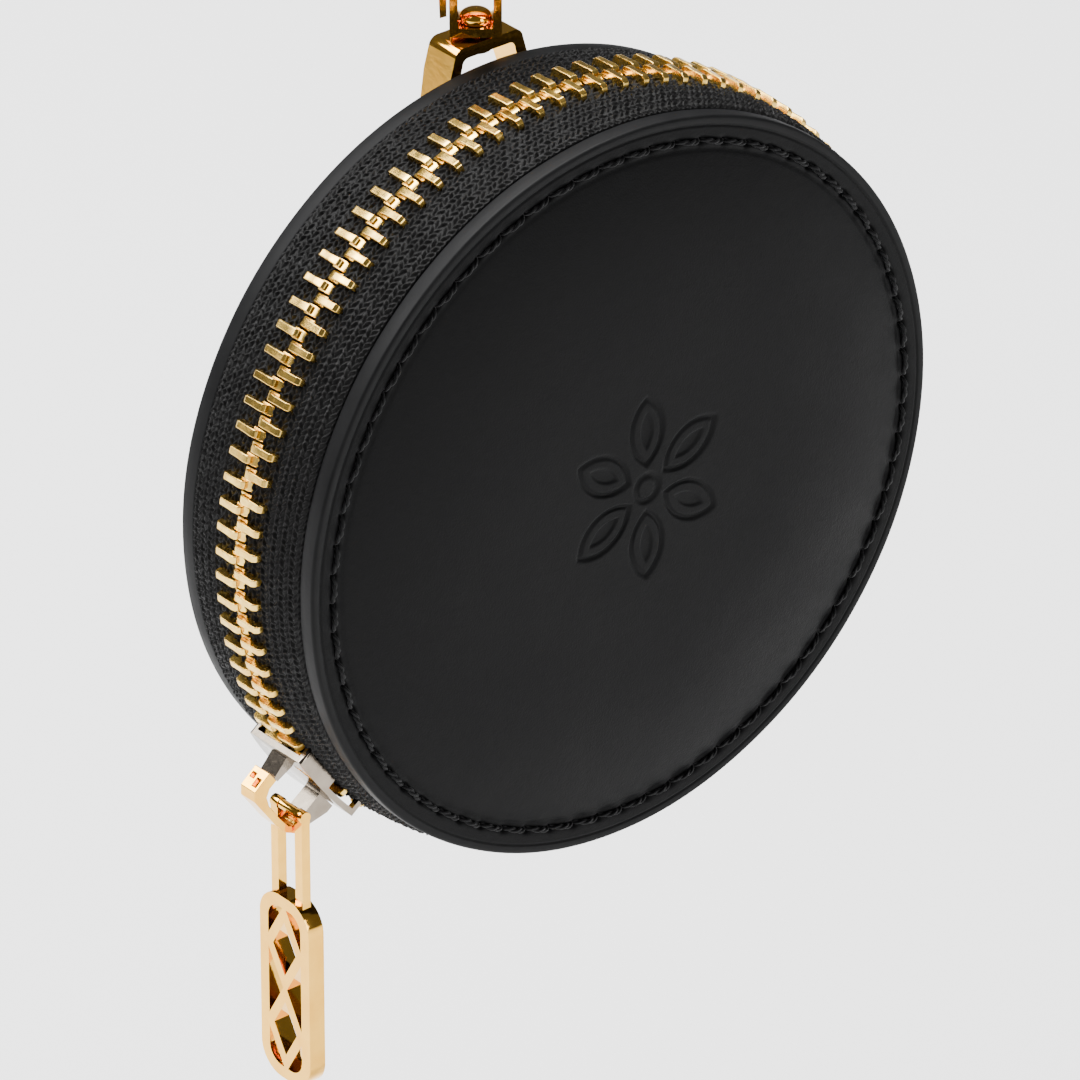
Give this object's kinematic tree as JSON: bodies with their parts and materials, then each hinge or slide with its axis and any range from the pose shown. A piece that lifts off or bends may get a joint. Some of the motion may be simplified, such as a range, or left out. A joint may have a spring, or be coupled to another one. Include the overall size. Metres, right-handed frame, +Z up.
{
  "type": "coin purse",
  "caption": "Round leather coin purse with a zip gusset around its rim, a metal zip pull, and a ring and swivel snap hook to hang it from a strap.",
  "frame": {"origin": "centre of the snap hook's eye, which is where the purse hangs from", "axes": "+Z up along the hook's swivel, -Y out of the padded front face, +X to the right seen from the front"},
  "size_m": [0.0792, 0.0298, 0.1216],
  "materials": {
    "black_leather": "smooth, satin",
    "board": "fibre board",
    "foam": "soft foam",
    "lining": "fine twill",
    "thread": "twisted thread",
    "zip_tape": "woven herringbone",
    "gold_teeth": "polished",
    "pale_nickel": "polished, pale",
    "polished_gold": "mirror polished",
    "spring_steel": "drawn wire"
  },
  "bodies": {
    "hook": {"hook_body": "polished_gold", "gate_pin": "polished_gold", "gate_spring": "spring_steel"},
    "gate": {"hook_gate": "polished_gold"},
    "ring": {"swivel_ring": "polished_gold", "swivel_rivet": "polished_gold"},
    "purse_back": {"back_panel": "black_leather", "back_stiffener": "board", "back_lining": "lining", "back_stitching": "thread", "back_tape": "zip_tape", "back_teeth": "gold_teeth", "back_top_stop": "gold_teeth", "bottom_stop": "gold_teeth", "gusset": "black_leather", "gusset_lining": "lining", "gusset_stitching": "thread", "hang_tab": "black_leather", "tab_stitching": "thread"},
    "purse_front": {"front_panel": "black_leather", "front_padding": "foam", "front_stiffener": "board", "front_lining": "lining", "front_stitching": "thread", "front_tape": "zip_tape", "front_teeth": "gold_teeth", "front_top_stop": "gold_teeth"},
    "slider": {"slider_body": "pale_nickel", "slider_bridge": "polished_gold"},
    "puller": {"puller": "polished_gold"}
  },
  "joints": [
    {"name": "hook_swivel", "type": "hinge", "parent": "hook", "child": "ring", "pos_m": [0, 0, -0.0175], "axis": [0, 0, 1], "continuous": true},
    {"name": "gate_open", "type": "hinge", "parent": "hook", "child": "gate", "pos_m": [-0.00279, 0.00228, -0.0065], "axis": [0.632, 0.7749, 0], "range_deg": [0, 28], "stiffness_Nm_per_rad": 0.002, "springref_deg": -20.05, "deforming": ["gate_spring"]},
    {"name": "ring_tilt", "type": "hinge", "parent": "ring", "child": "purse_back", "pos_m": [0, 0, -0.0265], "axis": [1, 0, 0], "range_deg": [0, 120]},
    {"name": "zip_travel", "type": "hinge", "parent": "purse_back", "child": "slider", "pos_m": [0, -0.0124, -0.0575], "axis": [0, 1, 0], "range_deg": [0, 256], "deforming": ["back_tape", "front_tape", "back_teeth", "front_teeth", "back_top_stop", "front_top_stop", "bottom_stop", "gusset", "gusset_lining", "gusset_stitching"]},
    {"name": "lid_open", "type": "hinge", "parent": "purse_back", "child": "purse_front", "pos_m": [0, -0.0124, -0.0955], "axis": [1, 0, 0], "range_deg": [0, 54], "deforming": ["back_tape", "front_tape", "back_teeth", "front_teeth", "back_top_stop", "front_top_stop", "bottom_stop", "gusset", "gusset_lining", "gusset_stitching"]},
    {"name": "puller_swing", "type": "hinge", "parent": "slider", "child": "puller", "pos_m": [-0.03318, -0.0124, -0.08501], "axis": [0, 1, 0], "range_deg": [-60, 140]}
  ],
  "couplings": [
    {"joint": "lid_open", "follows": "zip_travel", "ratio": 0.21084}
  ]
}
